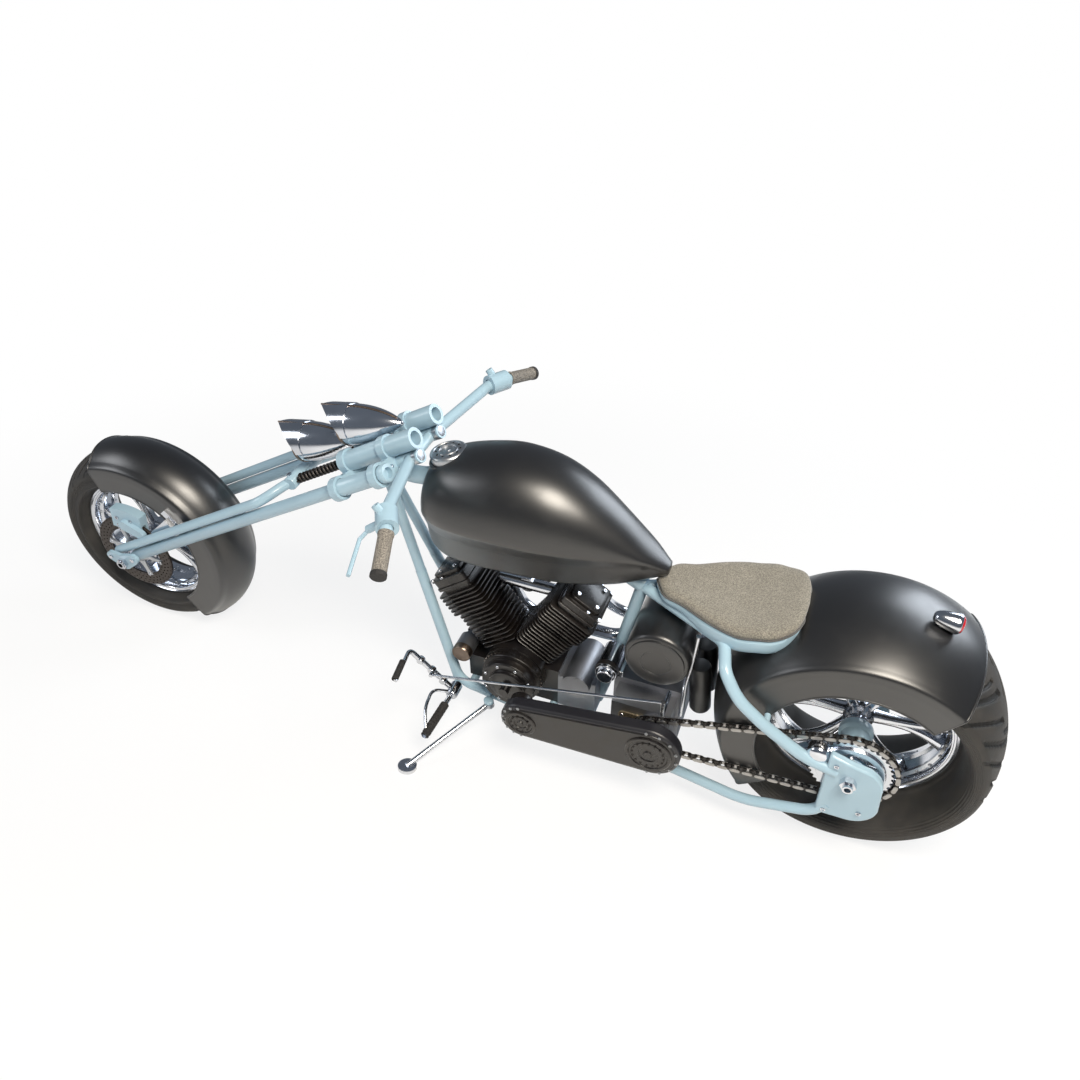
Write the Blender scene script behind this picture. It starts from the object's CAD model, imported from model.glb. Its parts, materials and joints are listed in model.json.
"""Looks of the long chopper motorcycle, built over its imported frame."""
import json
import logging
import math
from dataclasses import dataclass, field
from enum import Enum
from typing import Callable, Iterable, Optional, Sequence, Union

import bmesh
import bpy
from mathutils import Matrix, Vector


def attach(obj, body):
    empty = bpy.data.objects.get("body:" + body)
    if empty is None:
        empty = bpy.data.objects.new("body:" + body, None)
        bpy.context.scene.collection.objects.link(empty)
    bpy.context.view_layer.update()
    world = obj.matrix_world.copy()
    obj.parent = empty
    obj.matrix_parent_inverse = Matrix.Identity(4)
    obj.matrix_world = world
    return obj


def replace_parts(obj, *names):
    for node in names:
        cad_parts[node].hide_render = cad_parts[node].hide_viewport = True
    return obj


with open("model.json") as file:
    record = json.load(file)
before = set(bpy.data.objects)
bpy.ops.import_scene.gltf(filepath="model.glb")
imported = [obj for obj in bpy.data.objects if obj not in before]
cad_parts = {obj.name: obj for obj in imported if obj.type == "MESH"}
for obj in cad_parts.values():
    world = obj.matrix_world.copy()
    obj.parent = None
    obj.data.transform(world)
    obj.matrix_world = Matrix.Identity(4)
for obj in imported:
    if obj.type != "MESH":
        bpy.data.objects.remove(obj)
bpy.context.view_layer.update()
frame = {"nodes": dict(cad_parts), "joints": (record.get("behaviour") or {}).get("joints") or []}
log = logging.getLogger("chopper")
Point = Sequence[float]


class Body(str, Enum):
    """The rigid bodies that pieces ride on."""

    FRAME = "frame"
    REAR_WHEEL = "rear_wheel"
    FORK = "front_fork"
    FRONT_WHEEL = "front_wheel"


@dataclass(frozen=True)
class Stance:
    """How the upright machine, in millimetres, is leaned onto its side stand."""

    wheelbase: float = 2170.0
    lean: float = math.radians(9.0)
    rake: float = math.radians(59.5)
    rear_r: float = 340.0
    rear_crown: float = 380.0
    front_r: float = 309.0
    front_crown: float = 110.0
    neck: tuple[float, float, float] = (1300.0, 0.0, 798.0)

    def lift(self, radius: float, crown: float) -> float:
        """Height that a leaned tyre's axle line needs to stay on the floor."""
        return (radius - crown) * math.cos(self.lean) + crown - radius * math.cos(self.lean)

    def turn(self) -> Matrix:
        """Rotation of the upright machine into its parked pose."""
        drop = math.asin((self.lift(self.rear_r, self.rear_crown) - self.lift(self.front_r, self.front_crown))
                         / self.wheelbase)
        return Matrix.Rotation(drop, 4, "Y") @ Matrix.Rotation(-self.lean, 4, "X")

    def matrix(self) -> Matrix:
        """Placement of the upright machine, from millimetres to metres in the row frame."""
        spin = next(j for j in frame["joints"] if j["name"] == "rear_wheel_spin")
        turn = self.turn()
        hub = turn @ Vector((0.0, 0.0, self.rear_r / 1000.0))
        return Matrix.Translation(Vector(spin["pos_m"]) - hub) @ turn @ Matrix.Scale(0.001, 4)

    def fork(self) -> Matrix:
        """From fork coordinates (down the steering axis, left, above it) to the upright machine."""
        c, s = math.cos(self.rake), math.sin(self.rake)
        x, y, z = self.neck
        return Matrix(((s, 0, c, x), (0, 1, 0, y), (-c, 0, s, z), (0, 0, 0, 1)))

    def to_fork(self, x: float, z: float) -> Vector:
        """Fork coordinates of an upright point on the centre plane."""
        return self.fork().inverted() @ Vector((x, 0.0, z))


STANCE = Stance()
PLACED = STANCE.matrix()
FORK = STANCE.fork()
REAR_HUB = (0.0, STANCE.rear_r)
FRONT_HUB = (STANCE.wheelbase, STANCE.front_r)


# ---- shader maths ----
class Sock:
    """A value socket in a material, whose operators add Math nodes."""

    def __init__(self, graph: "Graph", socket: bpy.types.NodeSocket) -> None:
        """Wraps one output socket of the graph's tree."""
        self.graph = graph
        self.socket = socket

    def __add__(self, other: "Value") -> "Sock":
        """Sum."""
        return self.graph.maths("ADD", self, other)

    def __sub__(self, other: "Value") -> "Sock":
        """Difference."""
        return self.graph.maths("SUBTRACT", self, other)

    def __rsub__(self, other: "Value") -> "Sock":
        """Difference with the number first."""
        return self.graph.maths("SUBTRACT", other, self)

    def __mul__(self, other: "Value") -> "Sock":
        """Product."""
        return self.graph.maths("MULTIPLY", self, other)

    def __truediv__(self, other: "Value") -> "Sock":
        """Quotient."""
        return self.graph.maths("DIVIDE", self, other)

    def __pow__(self, other: "Value") -> "Sock":
        """Power."""
        return self.graph.maths("POWER", self, other)

    __radd__ = __add__
    __rmul__ = __mul__


Value = Union[Sock, float]


class Graph:
    """The node tree of one material and the short ways to write into it."""

    def __init__(self, name: str) -> None:
        """Makes an empty material with a principled shader."""
        self.material = bpy.data.materials.new(name)
        self.material.use_nodes = True
        self.tree = self.material.node_tree
        self.tree.nodes.clear()
        self.shader = self.node("ShaderNodeBsdfPrincipled", {}, {})
        self.node("ShaderNodeOutputMaterial", {}, {"Surface": self.shader.outputs[0]})

    def node(self, kind: str, settings: dict, values: dict) -> bpy.types.Node:
        """Adds a node.

        Args:
            kind: the node's type.
            settings: its properties, set first.
            values: numbers, colours or sockets for its inputs, by name or index.

        Returns:
            The new node.
        """
        made = self.tree.nodes.new(kind)
        for key, value in settings.items():
            setattr(made, key, value)
        for key, value in values.items():
            self.feed(made.inputs[key], value)
        return made

    def feed(self, socket: bpy.types.NodeSocket, value: object) -> None:
        """Links or sets one input socket."""
        if isinstance(value, Sock):
            value = value.socket
        if isinstance(value, bpy.types.NodeSocket):
            self.tree.links.new(value, socket)
        elif isinstance(value, tuple) and len(value) == 3 and socket.type == "RGBA":
            socket.default_value = (*value, 1.0)
        else:
            socket.default_value = value

    def maths(self, operation: str, *values: Value) -> Sock:
        """One Math node on up to three values."""
        made = self.node("ShaderNodeMath", {"operation": operation}, dict(enumerate(values)))
        return Sock(self, made.outputs[0])

    def step(self, value: Value, low: float, high: float) -> Sock:
        """Smooth step of a value from 0 at low to 1 at high."""
        made = self.node("ShaderNodeMapRange", {"interpolation_type": "SMOOTHSTEP"},
                         {0: value, 1: low, 2: high, 3: 0.0, 4: 1.0})
        return Sock(self, made.outputs[0])

    def spot(self) -> bpy.types.NodeSocket:
        """Object coordinates, in metres of the row frame."""
        return self.node("ShaderNodeTexCoord", {}, {}).outputs["Object"]

    def upright(self, x: float, z: float) -> bpy.types.NodeSocket:
        """Coordinates in metres along the upright machine, measured from a point of its centre plane."""
        at = PLACED @ Vector((x, 0.0, z))
        made = self.node("ShaderNodeMapping", {"vector_type": "TEXTURE"},
                         {"Vector": self.spot(), "Location": at, "Rotation": STANCE.turn().to_euler()})
        return made.outputs[0]

    def split(self, vector: bpy.types.NodeSocket) -> tuple[Sock, Sock, Sock]:
        """The three components of a vector."""
        made = self.node("ShaderNodeSeparateXYZ", {}, {0: vector})
        return tuple(Sock(self, made.outputs[i]) for i in range(3))

    def noise(self, scale: float, detail: float = 3.0, rough: float = 0.5,
              vector: Optional[bpy.types.NodeSocket] = None) -> Sock:
        """Fractal noise over the object."""
        made = self.node("ShaderNodeTexNoise", {}, {"Vector": vector or self.spot(), "Scale": scale,
                                                    "Detail": detail, "Roughness": rough})
        return Sock(self, made.outputs[0])

    def cells(self, scale: float) -> Sock:
        """Distance to the nearest point of a cell pattern."""
        made = self.node("ShaderNodeTexVoronoi", {}, {"Vector": self.spot(), "Scale": scale})
        return Sock(self, made.outputs["Distance"])

    def blend(self, amount: Value, low: object, high: object) -> bpy.types.NodeSocket:
        """Mixes two colours."""
        made = self.node("ShaderNodeMix", {"data_type": "RGBA"}, {0: amount, 6: low, 7: high})
        return made.outputs[2]

    def relief(self, height: Value, depth: float, strength: float) -> bpy.types.NodeSocket:
        """A bump from a height, in metres of depth."""
        return self.node("ShaderNodeBump", {},
                         {"Strength": strength, "Distance": depth, "Height": height}).outputs[0]

    def dress(self, **values: object) -> bpy.types.Material:
        """Sets the shader's inputs, with underscores for spaces in their names.

        Returns:
            The finished material.
        """
        for key, value in values.items():
            self.feed(self.shader.inputs[key.replace("_", " ")], value)
        return self.material


# Runs of tread grooves: share of the pitch they are shifted by, first and last share of the half width,
# width factor.
GROOVES = ((0.0, 0.06, 0.93, 1.0), (0.5, 0.30, 0.99, 0.85), (0.25, 0.05, 0.42, 0.6))


# ---- finishes ----
@dataclass(frozen=True)
class Finish:
    """A surface finish; paint() writes it once and keeps it."""

    name: str
    slot: str

    def paint(self) -> bpy.types.Material:
        """The finish's material, made on first use."""
        return bpy.data.materials.get(self.name) or self.write(Graph(self.name))

    def write(self, g: Graph) -> bpy.types.Material:
        """Writes the nodes of the finish into the graph."""
        raise NotImplementedError


@dataclass(frozen=True)
class Paint(Finish):
    """Sprayed or powder coated metal with a fine orange peel."""

    colour: tuple[float, float, float] = (0.3, 0.3, 0.3)
    rough: float = 0.35
    coat: float = 0.4
    peel: float = 0.00004
    grain: float = 900.0
    gloss: float = 0.12

    def write(self, g: Graph) -> bpy.types.Material:
        """Colour drifts a little, dust lifts the roughness in soft patches."""
        drift = g.noise(5.0, 4.0)
        dust = g.step(g.noise(23.0, 6.0, 0.65), 0.45, 0.75)
        dark = tuple(c * 0.88 for c in self.colour)
        light = tuple(min(1.0, c * 1.1 + 0.002) for c in self.colour)
        base = g.blend(drift, dark, light)
        return g.dress(Base_Color=base, Roughness=self.rough + 0.07 * dust,
                       Coat_Weight=self.coat, Coat_Roughness=self.gloss,
                       Normal=g.relief(g.noise(self.grain, 2.0), self.peel, 0.6))


@dataclass(frozen=True)
class Plate(Finish):
    """Plated, polished or brushed bare metal."""

    colour: tuple[float, float, float] = (0.75, 0.78, 0.83)
    rough: float = 0.12
    smear: float = 0.1
    brush: float = 0.0

    def write(self, g: Graph) -> bpy.types.Material:
        """Smudges vary the gloss, and a brushed metal has fine lines along one way."""
        smudge = g.noise(34.0, 5.0, 0.6)
        tint = g.blend(g.step(g.noise(9.0, 3.0), 0.3, 0.7), tuple(c * 0.82 for c in self.colour), self.colour)
        lines = g.node("ShaderNodeMapping", {},
                       {"Vector": g.spot(), "Scale": (900.0, 60.0, 900.0)}).outputs[0]
        grain = g.noise(1.0, 2.0, 0.5, lines)
        return g.dress(Base_Color=tint, Metallic=1.0,
                       Roughness=self.rough + self.smear * smudge + self.brush * grain,
                       Normal=g.relief(grain, 0.00002 + 0.0001 * self.brush, 0.5))


@dataclass(frozen=True)
class Cast(Finish):
    """Sand cast metal under paint or bare, with a pebbled skin and grime in its low places."""

    colour: tuple[float, float, float] = (0.02, 0.018, 0.018)
    rough: float = 0.42

    def write(self, g: Graph) -> bpy.types.Material:
        """Pebbles from two scales of noise."""
        sand = g.noise(420.0, 4.0, 0.6)
        grime = g.step(g.noise(14.0, 6.0, 0.6), 0.4, 0.7)
        base = g.blend(grime, self.colour,
                       tuple(c * 0.6 + k for c, k in zip(self.colour, (0.006, 0.004, 0.002))))
        return g.dress(Base_Color=base, Roughness=self.rough + 0.15 * grime,
                       Coat_Weight=0.25, Coat_Roughness=0.3, Normal=g.relief(sand, 0.0003, 0.55))


@dataclass(frozen=True)
class Tread(Finish):
    """Tyre rubber with long curved grooves over the crown and a ribbed sidewall."""

    hub: tuple[float, float] = REAR_HUB
    radius: float = 0.340
    half: float = 0.172
    grooves: int = 15
    sweep: float = 1.05
    width: float = 0.075

    def write(self, g: Graph) -> bpy.types.Material:
        """Grooves follow the turn about the axle and bend towards the shoulders."""
        x, y, z = g.split(g.upright(*self.hub))
        turn = g.maths("ARCTAN2", z, x) * (1.0 / (2.0 * math.pi))
        side = g.maths("ABSOLUTE", y)
        reach = side / self.half
        r = g.maths("SQRT", x * x + z * z)
        hand = g.step(y, -0.0005, 0.0005)
        bend = (reach ** 1.6) * self.sweep
        groove: Optional[Sock] = None
        for offset, low, high, wide in GROOVES:
            phase = turn * self.grooves + bend + hand * 0.5 + offset
            off = g.maths("ABSOLUTE", g.maths("FRACT", phase) - 0.5)
            line = 1.0 - g.step(off, self.width * wide * 0.62, self.width * wide)
            line = line * g.step(reach, low - 0.01,
                                 low + 0.01) * (1.0 - g.step(reach, high - 0.01, high + 0.01))
            groove = line if groove is None else g.maths("MAXIMUM", groove, line)
        tread = g.step(r, self.radius - 0.052, self.radius - 0.045)
        groove = groove * tread
        ribs = g.maths("SINE", r * 1500.0) * (1.0 - tread) * g.step(r, self.radius - 0.082,
                                                                    self.radius - 0.078)
        grain = g.noise(700.0, 3.0)
        worn = g.step(g.noise(18.0, 5.0, 0.65), 0.35, 0.7)
        base = g.blend(groove, g.blend(worn, (0.022, 0.021, 0.020), (0.037, 0.034, 0.031)),
                       (0.006, 0.006, 0.006))
        height = 1.0 - groove + ribs * 0.1 + grain * 0.05
        return g.dress(Base_Color=base, Roughness=0.62 + 0.14 * worn, Coat_Weight=0.06, Coat_Roughness=0.4,
                       Normal=g.relief(height, 0.006, 0.9))


@dataclass(frozen=True)
class Suede(Finish):
    """Napped leather with a salt and pepper speckle."""

    colour: tuple[float, float, float] = (0.235, 0.22, 0.185)

    def write(self, g: Graph) -> bpy.types.Material:
        """Speckle, brushed patches and a fibre relief."""
        speck = g.step(g.noise(330.0, 3.0, 0.75), 0.36, 0.64)
        nap = g.step(g.noise(26.0, 5.0, 0.6), 0.3, 0.7)
        low = tuple(c * 0.5 for c in self.colour)
        high = tuple(c * 1.3 for c in self.colour)
        base = g.blend(nap * 0.25, g.blend(speck, low, high), tuple(c * 0.7 for c in self.colour))
        fibre = g.noise(1500.0, 3.0, 0.7) + g.cells(900.0) * 0.6
        return g.dress(Base_Color=base, Roughness=0.86 + 0.08 * nap, Sheen_Weight=0.25, Sheen_Roughness=0.5,
                       Normal=g.relief(fibre, 0.0006, 0.7))


@dataclass(frozen=True)
class Rubber(Finish):
    """Moulded grip rubber, speckled and ribbed."""

    colour: tuple[float, float, float] = (0.175, 0.16, 0.14)

    def write(self, g: Graph) -> bpy.types.Material:
        """A knurl of fine cells over worn rubber."""
        knurl = g.cells(420.0)
        speck = g.step(g.noise(380.0, 3.0, 0.75), 0.4, 0.6)
        base = g.blend(speck, tuple(c * 0.5 for c in self.colour), tuple(c * 1.7 for c in self.colour))
        return g.dress(Base_Color=base, Roughness=0.6 + 0.2 * speck, Normal=g.relief(knurl, 0.0009, 0.8))


@dataclass(frozen=True)
class Lens(Finish):
    """Moulded coloured or clear lamp lens with fine flutes."""

    colour: tuple[float, float, float] = (0.55, 0.01, 0.02)
    flutes: float = 800.0

    def write(self, g: Graph) -> bpy.types.Material:
        """Flutes run up the lens, and the colour deepens towards its edge."""
        _, y, _ = g.split(g.spot())
        flute = g.maths("SINE", y * self.flutes)
        base = g.blend(g.noise(60.0), self.colour, tuple(c * 0.6 for c in self.colour))
        return g.dress(Base_Color=base, Roughness=0.08 + 0.05 * g.noise(80.0), Coat_Weight=1.0,
                       Coat_Roughness=0.04, Normal=g.relief(flute, 0.0008, 0.5))


BLUE = Paint("powder_blue", "frame_paint", (0.335, 0.485, 0.585), 0.36, 0.45)
SATIN = Paint("satin_black", "black_paint", (0.006, 0.0062, 0.0072), 0.36, 0.9, 0.00002, 700.0, gloss=0.34)
SLATE = Paint("slate_black", "engine_black", (0.011, 0.011, 0.015), 0.4, 0.15, gloss=0.3)
CRACKLE = Cast("crackle_black", "engine_black", (0.007, 0.0062, 0.0068), 0.3)
BARREL = Cast("barrel_black", "engine_black", (0.0075, 0.006, 0.0057), 0.26)
CHROME = Plate("chrome_plate", "chrome", (0.72, 0.75, 0.81), 0.1, 0.1)
STEEL = Plate("turned_steel", "chrome", (0.55, 0.57, 0.6), 0.24, 0.12, 0.12)
ALLOY = Plate("cast_alloy", "cast_aluminium", (0.34, 0.35, 0.38), 0.34, 0.15, 0.1)
GILT = Plate("gilt_plate", "cast_aluminium", (0.62, 0.5, 0.33), 0.2, 0.15, 0.05)
BRONZE = Plate("bronze_rim", "chrome", (0.26, 0.2, 0.16), 0.25, 0.15)
ROTOR = Plate("heated_rotor", "disc_steel", (0.09, 0.078, 0.072), 0.26, 0.14, 0.18)
IRON = Plate("oiled_iron", "dark_steel", (0.075, 0.07, 0.068), 0.3, 0.2, 0.1)
LINK = Plate("link_steel", "dark_steel", (0.42, 0.41, 0.4), 0.28, 0.2)
REAR_TREAD = Tread("rear_tread", "tyre")
FRONT_TREAD = Tread("front_tread", "tyre", FRONT_HUB, 0.309, 0.086, 22, 0.9, 0.085)
SUEDE = Suede("speckled_suede", "seat_cover")
PIPING = Suede("seat_piping", "seat_cover", (0.1, 0.1, 0.1))
GRIP = Rubber("grip_rubber_knurl", "grip_rubber")
CAP_RUBBER = Rubber("cap_rubber", "grip_rubber", (0.018, 0.017, 0.017))
RED = Lens("red_lens", "chrome")
CLEAR = Lens("lamp_lens", "chrome", (0.42, 0.44, 0.46), 500.0)


# ---- meshes ----
def fillet(path: Sequence[Point], radius: float, steps: int = 7) -> list[Vector]:
    """Rounds the corners of a path.

    Args:
        path: corner points.
        radius: length taken off each side of a corner, at most.
        steps: points along each rounded corner.

    Returns:
        The points of the rounded path.
    """
    pts = [Vector(p) for p in path]
    out = [pts[0]]
    for a, b, c in zip(pts, pts[1:], pts[2:]):
        cut = min(radius, (b - a).length * 0.48, (c - b).length * 0.48)
        p, q = b + (a - b).normalized() * cut, b + (c - b).normalized() * cut
        for k in range(steps + 1):
            t = k / steps
            out.append(p * (1 - t) ** 2 + b * 2 * t * (1 - t) + q * t * t)
    return [*out, pts[-1]]


def curve_through(points: Sequence[Point], steps: int) -> list[Vector]:
    """A smooth curve through every point, with steps points to each span."""
    pts = [Vector(p) for p in points]
    pts = [pts[0] * 2 - pts[1], *pts, pts[-1] * 2 - pts[-2]]
    out = []
    for a, b, c, d in zip(pts, pts[1:], pts[2:], pts[3:]):
        for k in range(steps):
            t = k / steps
            out.append(0.5 * (2 * b + (c - a) * t + (2 * a - 5 * b + 4 * c - d) * t * t
                              + (3 * b - a - 3 * c + d) * t ** 3))
    return [*out, pts[-2]]


def arc(x: float, z: float, r: float, start: float, stop: float, steps: int) -> list[tuple[float, float]]:
    """Points of an arc in a plane, angles in degrees."""
    return [(x + r * math.cos(math.radians(start + (stop - start) * k / steps)),
             z + r * math.sin(math.radians(start + (stop - start) * k / steps))) for k in range(steps + 1)]


def belt(p: tuple[float, float], rp: float, q: tuple[float, float], rq: float,
         steps: int = 24) -> list[tuple[float, float]]:
    """Outline round two circles."""
    a = math.degrees(math.atan2(q[1] - p[1], q[0] - p[0]))
    b = math.degrees(math.acos((rp - rq) / math.dist(p, q)))
    return arc(*p, rp, a + b, a + 360 - b, steps) + arc(*q, rq, a - b, a + b, steps)


def round_box(w: float, h: float, r: float, steps: int = 4) -> list[tuple[float, float]]:
    """Outline of a rectangle with rounded corners about the origin, half sizes w and h."""
    out: list[tuple[float, float]] = []
    for i, (sx, sz) in enumerate(((1, 1), (-1, 1), (-1, -1), (1, -1))):
        out += arc(sx * (w - r), sz * (h - r), r, 90 * i, 90 * i + 90, steps)
    return out


def polar(a: float) -> tuple[Vector, Vector]:
    """The outward and the forward direction at an angle about an axle, in radians."""
    return Vector((math.cos(a), 0, math.sin(a))), Vector((-math.sin(a), 0, math.cos(a)))


def across(hub: tuple[float, float], y: float, r: float, a: float, box: tuple[float, ...]) -> list[Vector]:
    """A rounded rectangle across an arm.

    Args:
        hub: the axle the arm comes from.
        y: place across the machine.
        r: distance from the axle.
        a: angle about the axle in radians.
        box: half width, half thickness, corner radius and steps.

    Returns:
        The rectangle's points.
    """
    out, way = polar(a)
    mid = Vector((hub[0], y, hub[1])) + out * r
    return [mid + way * px + Vector((0, py, 0)) for px, py in round_box(*box)]


class Shape:
    """Closed shells in the machine's own millimetres, before they are placed in the row frame."""

    def __init__(self) -> None:
        """Starts with nothing."""
        self.points: list[Vector] = []
        self.faces: list[tuple[int, ...]] = []

    def add(self, points: Iterable[Point], faces: Iterable[Sequence[int]]) -> "Shape":
        """Adds points and faces that count from the first of them."""
        base = len(self.points)
        self.points.extend(Vector(p) for p in points)
        self.faces.extend(tuple(base + i for i in face) for face in faces)
        return self

    def loft(self, rings: Sequence[Sequence[Point]], wrap: bool = False) -> "Shape":
        """Skins rings of equally many points.

        Args:
            rings: the rings in order.
            wrap: whether the last ring joins the first; if not, the ends are closed.

        Returns:
            The shape itself.
        """
        n, m = len(rings[0]), len(rings)
        faces: list[Sequence[int]] = []
        for i in range(m if wrap else m - 1):
            k = (i + 1) % m
            faces += [(i * n + j, i * n + (j + 1) % n, k * n + (j + 1) % n, k * n + j) for j in range(n)]
        if not wrap:
            faces += [tuple(range(n)), tuple(reversed(range((m - 1) * n, m * n)))]
        return self.add([p for ring in rings for p in ring], faces)

    def tube(self, path: Sequence[Point], radius: Union[float, Callable[[float], float]],
             sides: int = 20) -> "Shape":
        """Sweeps a circle along a path.

        Args:
            path: points of the path.
            radius: the radius, or a function of the share of the path.
            sides: points round the tube.

        Returns:
            The shape itself.
        """
        pts = [Vector(p) for p in path]
        ways = [(b - a).normalized() for a, b in zip(pts, pts[1:])]
        side = ways[0].orthogonal().normalized()
        rings = []
        for i, p in enumerate(pts):
            way = (ways[max(i - 1, 0)] + ways[min(i, len(ways) - 1)]).normalized()
            side = (side - way * side.dot(way)).normalized()
            up = way.cross(side)
            r = radius(i / (len(pts) - 1)) if callable(radius) else radius
            rings.append([p + (side * math.cos(a) + up * math.sin(a)) * r
                          for a in (2 * math.pi * k / sides for k in range(sides))])
        return self.loft(rings)

    def turned(self, profile: Sequence[tuple[float, float]], at: Point, way: Point = (0, 1, 0),
               start: float = 0.0, stop: float = 360.0, steps: int = 96) -> "Shape":
        """Turns a closed profile of (radius, height) points about an axis; angle 0 is X for a Y axis.

        Args:
            profile: the profile, which may touch the axis.
            at: a point on the axis, at height 0.
            way: the axis.
            start: first angle in degrees.
            stop: last angle in degrees.
            steps: steps round the turn.

        Returns:
            The shape itself.
        """
        axis = Vector(way).normalized()
        u = Vector((1, 0, 0)) if abs(axis.x) < 0.9 else Vector((0, 1, 0))
        u = (u - axis * u.dot(axis)).normalized()
        v = u.cross(axis)
        full = stop - start >= 359.99
        rings = []
        for k in range(steps if full else steps + 1):
            a = math.radians(start + (stop - start) * k / steps)
            out = u * math.cos(a) + v * math.sin(a)
            rings.append([Vector(at) + out * r + axis * h for r, h in profile])
        return self.loft(rings, wrap=full)

    def prism(self, outline: Sequence[tuple[float, float]], low: float, high: float) -> "Shape":
        """Extrudes an X-Z outline across the machine."""
        return self.loft([[(x, y, z) for x, z in outline] for y in (low, high)])

    def holed_ring(self, at: Point, count: int, rows: Sequence[float], width: float, hole: float) -> "Shape":
        """A flat ring across the axle with staggered rows of round holes.

        Args:
            at: hub centre, with the ring's middle plane as its Y.
            count: holes round each row.
            rows: edge radii of the rows, one more than there are rows.
            width: thickness across the machine.
            hole: hole radius.

        Returns:
            The shape itself.
        """
        c = Vector(at)
        for k, (r0, r1) in enumerate(zip(rows, rows[1:])):
            mid = (r0 + r1) / 2
            step = 2 * math.pi / count
            for i in range(count):
                a0 = (i + k / 2) * step
                outer, inner = [], []
                for j in range(8):
                    t = math.pi / 4 * j
                    s = max(abs(math.cos(t)), abs(math.sin(t)))
                    a, r = a0 + math.cos(t) / s * step / 2, mid + math.sin(t) / s * (r1 - r0) / 2
                    outer.append((math.cos(a) * r, math.sin(a) * r))
                    along, out = math.cos(t) * hole, mid + math.sin(t) * hole
                    inner.append((math.cos(a0) * out - math.sin(a0) * along,
                                  math.sin(a0) * out + math.cos(a0) * along))
                pts = [c + Vector((x, y, z)) for y in (-width / 2, width / 2) for x, z in outer + inner]
                faces = []
                for j in range(8):
                    n = (j + 1) % 8
                    faces += [(j, n, 8 + n, 8 + j), (16 + j, 24 + j, 24 + n, 16 + n),
                              (8 + j, 8 + n, 24 + n, 24 + j)]
                self.add(pts, faces)
        for r in (rows[0], rows[-1]):
            ring = arc(0, 0, r, 0, 360, count * 8)[:-1]
            n = len(ring)
            self.add([c + Vector((x, y, z)) for y in (-width / 2, width / 2) for x, z in ring],
                     [(j, (j + 1) % n, n + (j + 1) % n, n + j) for j in range(n)])
        return self

    def both(self) -> "Shape":
        """Adds the mirror image on the other side of the machine."""
        faces = [tuple(reversed(face)) for face in self.faces]
        return self.add([(p.x, -p.y, p.z) for p in self.points], faces)

    def placed(self, matrix: Matrix) -> "Shape":
        """Moves every point by a matrix."""
        self.points = [matrix @ p for p in self.points]
        return self

    def cut(self, at: Point, normal: Point) -> "Shape":
        """Keeps what lies behind a plane and closes the cut."""
        mesh = self.mesh("cutting", Matrix.Identity(4))
        bm = bmesh.new()
        bm.from_mesh(mesh)
        geom = [*bm.verts, *bm.edges, *bm.faces]
        bmesh.ops.bisect_plane(bm, geom=geom, plane_co=Vector(at), plane_no=Vector(normal), clear_outer=True)
        bmesh.ops.holes_fill(bm, edges=[e for e in bm.edges if e.is_boundary], sides=0)
        bm.verts.index_update()
        self.points = [v.co.copy() for v in bm.verts]
        self.faces = [tuple(v.index for v in f.verts) for f in bm.faces]
        bm.free()
        bpy.data.meshes.remove(mesh)
        return self

    def mesh(self, name: str, matrix: Matrix) -> bpy.types.Mesh:
        """The shape as a clean mesh whose faces point outwards."""
        mesh = bpy.data.meshes.new(name)
        mesh.from_pydata([tuple(p) for p in self.points], [], self.faces)
        bm = bmesh.new()
        bm.from_mesh(mesh)
        bmesh.ops.remove_doubles(bm, verts=bm.verts, dist=0.01)
        bmesh.ops.dissolve_degenerate(bm, edges=bm.edges, dist=0.005)
        bm.transform(matrix)
        bmesh.ops.recalc_face_normals(bm, faces=bm.faces)
        bm.to_mesh(mesh)
        bm.free()
        return mesh

    def piece(self, name: str, body: Body, finish: Finish, bevel: float = 0.0, smooth: float = 38.0,
              rounds: int = 0) -> bpy.types.Object:
        """Makes the piece, dresses it and lets it ride on its body.

        Args:
            name: the piece's name.
            body: the body it moves with.
            finish: its surface finish.
            bevel: width of the bevel on its sharp edges, in millimetres.
            smooth: angle in degrees above which an edge stays sharp.
            rounds: levels of subdivision.

        Returns:
            The new object.
        """
        mesh = self.mesh(name, PLACED)
        for face in mesh.polygons:
            face.use_smooth = True
        if not rounds:
            mesh.set_sharp_from_angle(angle=math.radians(smooth))
        return settle(mesh, name, body, finish, bevel, rounds)


def settle(mesh: bpy.types.Mesh, name: str, body: Body, finish: Finish, bevel: float = 0.0,
           rounds: int = 0) -> bpy.types.Object:
    """Turns a finished mesh into a piece of the object.

    Args:
        mesh: the mesh, already in the row frame.
        name: the piece's name.
        body: the body it moves with.
        finish: its surface finish.
        bevel: bevel width in millimetres.
        rounds: levels of subdivision.

    Returns:
        The new object.
    """
    made = bpy.data.objects.new(name, mesh)
    bpy.context.scene.collection.objects.link(made)
    mesh.materials.clear()
    mesh.materials.append(finish.paint())
    if bevel:
        edge = made.modifiers.new("edges", "BEVEL")
        edge.width, edge.segments, edge.limit_method = bevel / 1000, 2, "ANGLE"
        edge.angle_limit = math.radians(38)
    if rounds:
        soft = made.modifiers.new("rounds", "SUBSURF")
        soft.levels = soft.render_levels = rounds
    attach(made, body.value)
    log.info("%s rides on %s", name, body.value)
    return made


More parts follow.
